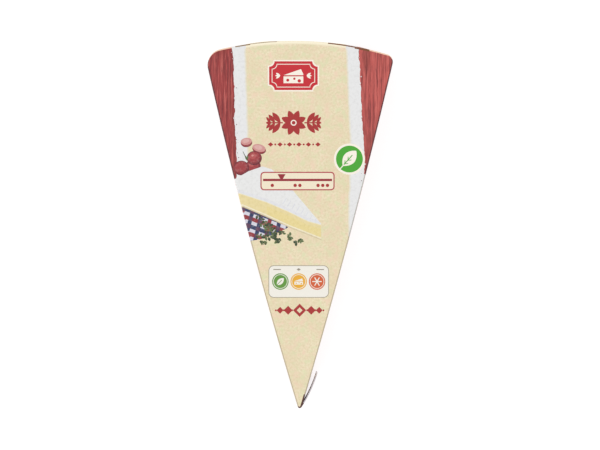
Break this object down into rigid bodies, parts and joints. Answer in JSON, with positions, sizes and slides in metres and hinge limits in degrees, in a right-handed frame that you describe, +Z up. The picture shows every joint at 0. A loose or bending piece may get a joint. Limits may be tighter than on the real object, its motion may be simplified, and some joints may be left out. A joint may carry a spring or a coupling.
{
  "type": "wedge-shaped cheese carton",
  "caption": "Closed wedge-shaped folding carton with a curved back, holding one paper-wrapped slice of soft cheese.",
  "frame": {"origin": "middle of the carton's footprint, on the surface that it stands on", "axes": "+Y from the tip towards the curved back, +Z up through the printed top, +X to the right when the tip points at the viewer"},
  "size_m": [0.0786, 0.156, 0.036],
  "materials": {
    "printed_board": "satin",
    "red_print": "satin",
    "raw_board": "matte",
    "cheese_paper": "satin",
    "cheese": "matte"
  },
  "bodies": {
    "root": {"top_panel": "printed_board", "bottom_panel": "printed_board", "left_side_panel": "red_print", "right_side_panel": "red_print", "tip_tab": "red_print", "back_outer_flap": "red_print", "back_inner_flap": "raw_board", "left_dust_flap": "raw_board", "right_dust_flap": "raw_board", "seam_flap": "raw_board", "inner_wrap": "cheese_paper", "cheese_wedge": "cheese"}
  },
  "joints": []
}
